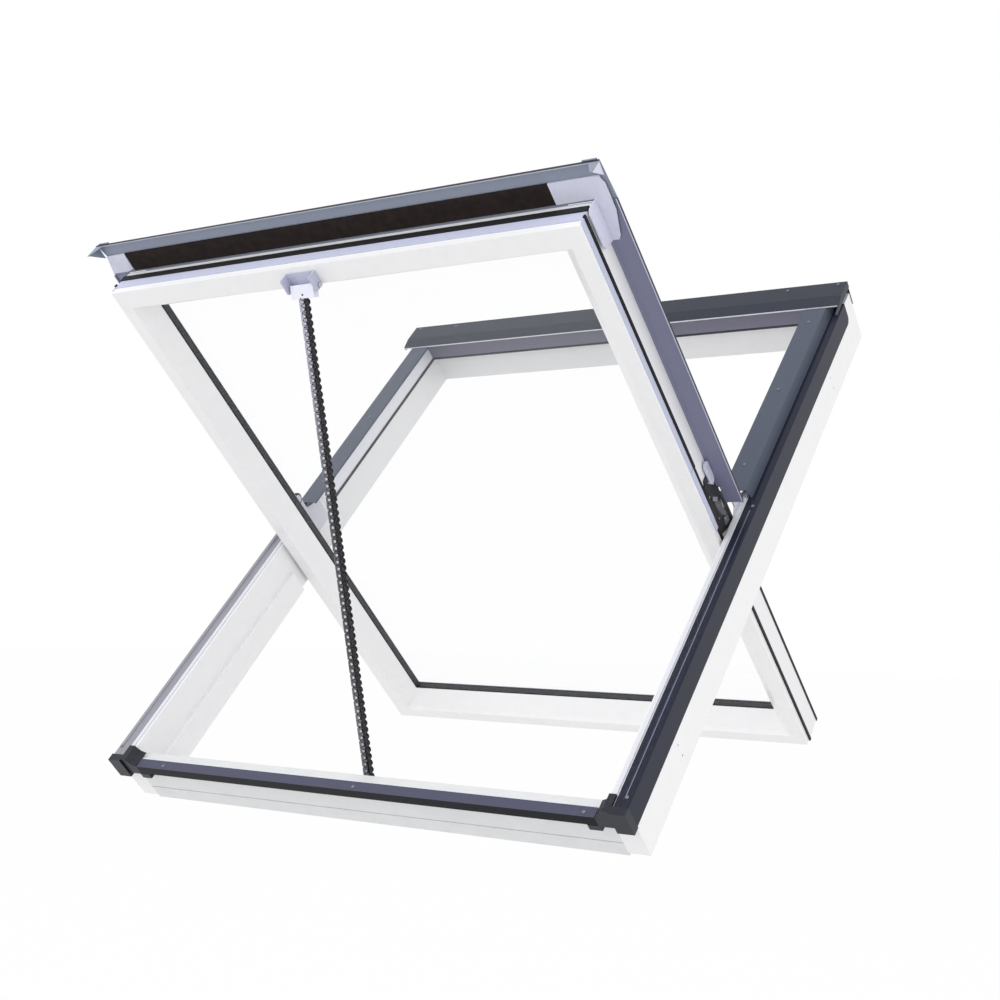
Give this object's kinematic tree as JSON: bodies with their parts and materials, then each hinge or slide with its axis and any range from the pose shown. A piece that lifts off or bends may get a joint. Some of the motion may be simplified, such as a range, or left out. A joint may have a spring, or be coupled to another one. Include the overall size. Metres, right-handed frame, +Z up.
{
  "type": "smoke vent window",
  "caption": "Centre-pivot roof window for smoke venting: white frame and sash with grey covers, double glazing, and a push-chain drive that holds the sash wide open.",
  "frame": {"origin": "middle of the sill face, the plain lower strip of the outer face of the lower frame member, with the window in a 45 degree roof", "axes": "+X along the width to the right seen from outside, +Y horizontally into the roof, +Z up; the roof rises along +Y and +Z"},
  "size_m": [1.146, 1.1917, 1.0971],
  "materials": {
    "white_timber": "smooth white lacquer on laminated timber",
    "grey_sheet": "grey painted aluminium sheet, satin",
    "sash_sheet": "grey-violet painted aluminium sheet, satin",
    "lining_sheet": "pale violet-grey painted sheet, matte",
    "clear_glass": "clear float glass",
    "spacer_metal": "mill finish",
    "black_seal": "matte black",
    "pale_trim": "pale lavender plastic",
    "light_plastic": "light grey plastic",
    "brown_panel": "very dark brown, matte",
    "dark_plastic": "dark grey plastic",
    "drive_metal": "anodised, satin",
    "bright_steel": "zinc plated steel"
  },
  "bodies": {
    "frame": {"bottom_cover": "grey_sheet", "corner_cap_left": "grey_sheet", "corner_cap_right": "grey_sheet", "cover_screws": "bright_steel", "drive_end_cap_left": "dark_plastic", "drive_end_cap_right": "dark_plastic", "drive_housing": "drive_metal", "frame_bottom_member": "white_timber", "frame_seal": "black_seal", "frame_side_member_left": "white_timber", "frame_side_member_right": "white_timber", "frame_top_member": "white_timber", "guide_ears": "bright_steel", "hinge_frame_plate_left": "bright_steel", "hinge_frame_plate_right": "bright_steel", "light_strip_left": "pale_trim", "light_strip_right": "pale_trim", "side_cover_left": "grey_sheet", "side_cover_right": "grey_sheet", "side_lining_left": "lining_sheet", "side_lining_right": "lining_sheet", "top_cover": "grey_sheet", "top_lining": "lining_sheet", "upper_cover_left": "grey_sheet", "upper_cover_right": "grey_sheet"},
    "sash": {"bracket_screws": "bright_steel", "chain_bracket": "bright_steel", "corner_piece_left": "light_plastic", "corner_piece_right": "light_plastic", "glass_inner_pane": "clear_glass", "glass_outer_pane": "clear_glass", "glass_spacer": "spacer_metal", "glazing_seal_inner": "black_seal", "glazing_seal_outer": "black_seal", "hinge_cap_left": "light_plastic", "hinge_cap_right": "light_plastic", "hinge_sash_plate_left": "dark_plastic", "hinge_sash_plate_right": "dark_plastic", "insulation_panel": "brown_panel", "sash_bottom_cover": "sash_sheet", "sash_bottom_rail": "white_timber", "sash_lower_seal": "black_seal", "sash_lower_trim": "pale_trim", "sash_side_cover_left": "sash_sheet", "sash_side_cover_right": "sash_sheet", "sash_stile_left": "white_timber", "sash_stile_right": "white_timber", "sash_top_cladding": "sash_sheet", "sash_top_rail": "white_timber", "sash_upper_cladding_left": "sash_sheet", "sash_upper_cladding_right": "sash_sheet", "sash_upper_seal": "black_seal", "sash_upper_trim": "pale_trim"},
    "chain_head": {"chain_pin": "bright_steel", "chain_end_block": "light_plastic", "chain": "bright_steel"},
    "chain_exit": {"chain_guide": "light_plastic"}
  },
  "joints": [
    {"name": "sash_pivot", "type": "hinge", "parent": "frame", "child": "sash", "pos_m": [0, 0.39457, 0.60953], "axis": [1, 0, 0], "range_deg": [0, 87], "deforming": ["chain"]},
    {"name": "chain_head_turn", "type": "hinge", "parent": "sash", "child": "chain_head", "pos_m": [-0.05, -0.14365, 0.94074], "axis": [1, 0, 0], "range_deg": [-43.5, 0]},
    {"name": "chain_exit_turn", "type": "hinge", "parent": "frame", "child": "chain_exit", "pos_m": [-0.05, 0.06653, 0.06936], "axis": [1, 0, 0], "range_deg": [0, 43.5]}
  ],
  "couplings": [
    {"joint": "chain_head_turn", "follows": "sash_pivot", "ratio": -0.5},
    {"joint": "chain_exit_turn", "follows": "sash_pivot", "ratio": 0.5}
  ]
}
